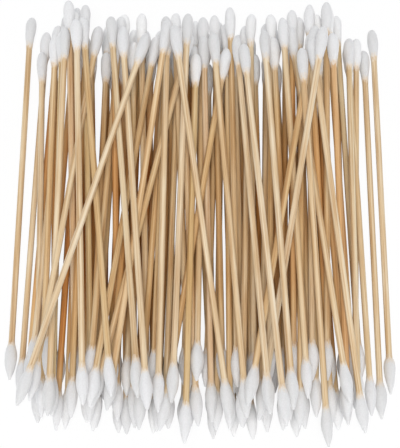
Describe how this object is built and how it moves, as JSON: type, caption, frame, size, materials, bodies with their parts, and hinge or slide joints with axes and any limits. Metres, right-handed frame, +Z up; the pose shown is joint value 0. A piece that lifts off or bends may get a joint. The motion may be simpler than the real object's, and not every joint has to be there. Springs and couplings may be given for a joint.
{
  "type": "heap of double-tipped cotton swabs",
  "caption": "Loose heap of long bamboo-stick cotton swabs lying side by side, each with a round cotton tip on one end and a pointed cotton tip on the other.",
  "frame": {"origin": "centre of the heap's bounding box, on the floor that it lies on", "axes": "+Z up, +Y along the swabs from their pointed tips to their round tips, +X across the swabs"},
  "size_m": [0.1498, 0.1794, 0.0435],
  "materials": {
    "bamboo": "matte",
    "cotton": "matte"
  },
  "bodies": {
    "root": {"sticks_edge": "bamboo", "round_tips_edge": "cotton", "pointed_tips_edge": "cotton", "sticks_row_1": "bamboo", "round_tips_row_1": "cotton", "pointed_tips_row_1": "cotton", "sticks_row_2": "bamboo", "round_tips_row_2": "cotton", "pointed_tips_row_2": "cotton", "sticks_row_3": "bamboo", "round_tips_row_3": "cotton", "pointed_tips_row_3": "cotton", "sticks_top_1": "bamboo", "round_tips_top_1": "cotton", "pointed_tips_top_1": "cotton", "sticks_top_2": "bamboo", "round_tips_top_2": "cotton", "pointed_tips_top_2": "cotton", "sticks_top_3": "bamboo", "round_tips_top_3": "cotton", "pointed_tips_top_3": "cotton"}
  },
  "joints": []
}
